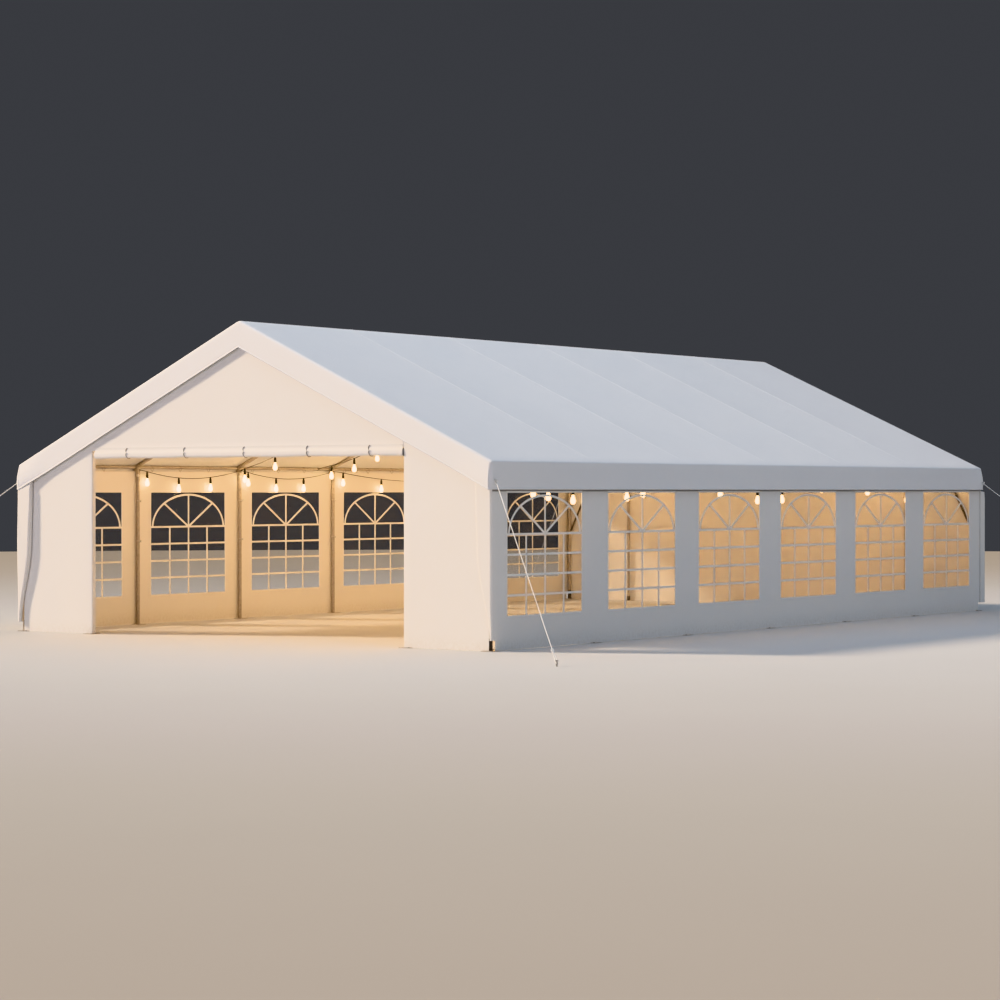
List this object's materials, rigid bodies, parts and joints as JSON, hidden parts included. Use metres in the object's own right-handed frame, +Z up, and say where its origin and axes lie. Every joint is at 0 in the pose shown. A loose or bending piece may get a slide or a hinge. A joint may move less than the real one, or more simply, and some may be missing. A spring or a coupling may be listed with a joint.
{
  "type": "marquee tent",
  "caption": "White marquee tent with a pitched roof cover on a steel tube frame, arched clear windows along both long walls, a wide rolled-up gable door, guy ropes and strings of lights.",
  "frame": {"origin": "on the ground, at the middle of the plan of the hall and its guy ropes", "axes": "+Y along the hall towards its plain rear gable, so the doorway is at -Y; +X across the hall; +Z up"},
  "size_m": [11.2346, 15.3546, 3.7601],
  "materials": {
    "steel_tube": "galvanised, satin grey with a faint spangle",
    "stake_steel": "galvanised, dull and scuffed",
    "roof_fabric": "white coated woven sheet, satin",
    "wall_fabric": "warm white coated woven sheet, satin",
    "window_film": "clear soft film, glossy",
    "guy_rope": "white braided cord",
    "light_cable": "black rubber"
  },
  "bodies": {
    "root": {"post_left_1": "steel_tube", "post_left_2": "steel_tube", "post_left_3": "steel_tube", "post_left_4": "steel_tube", "post_left_5": "steel_tube", "post_left_6": "steel_tube", "post_left_7": "steel_tube", "post_right_1": "steel_tube", "post_right_2": "steel_tube", "post_right_3": "steel_tube", "post_right_4": "steel_tube", "post_right_5": "steel_tube", "post_right_6": "steel_tube", "post_right_7": "steel_tube", "rafter_pair_1": "steel_tube", "rafter_pair_2": "steel_tube", "rafter_pair_3": "steel_tube", "rafter_pair_4": "steel_tube", "rafter_pair_5": "steel_tube", "rafter_pair_6": "steel_tube", "rafter_pair_7": "steel_tube", "ridge_rail": "steel_tube", "eave_rail_left": "steel_tube", "eave_rail_right": "steel_tube", "gable_post_front_left": "steel_tube", "gable_post_front_right": "steel_tube", "gable_post_rear_left": "steel_tube", "gable_post_rear_right": "steel_tube", "knee_brace_front_left": "steel_tube", "knee_brace_front_right": "steel_tube", "knee_brace_rear_left": "steel_tube", "knee_brace_rear_right": "steel_tube", "roof_cover": "roof_fabric", "front_wall": "wall_fabric", "rear_wall": "wall_fabric", "side_wall_left": "wall_fabric", "side_wall_right": "wall_fabric", "door_roll": "wall_fabric", "window_film_left": "window_film", "window_film_right": "window_film", "guy_rope_front_left": "guy_rope", "guy_rope_front_right": "guy_rope", "guy_rope_rear_left": "guy_rope", "guy_rope_rear_right": "guy_rope", "ground_stake_front_left": "stake_steel", "ground_stake_front_right": "stake_steel", "ground_stake_rear_left": "stake_steel", "ground_stake_rear_right": "stake_steel", "eave_lights_left": "light_cable", "eave_lights_right": "light_cable", "cross_lights_3": "light_cable", "cross_lights_4": "light_cable", "cross_lights_5": "light_cable"}
  },
  "joints": []
}
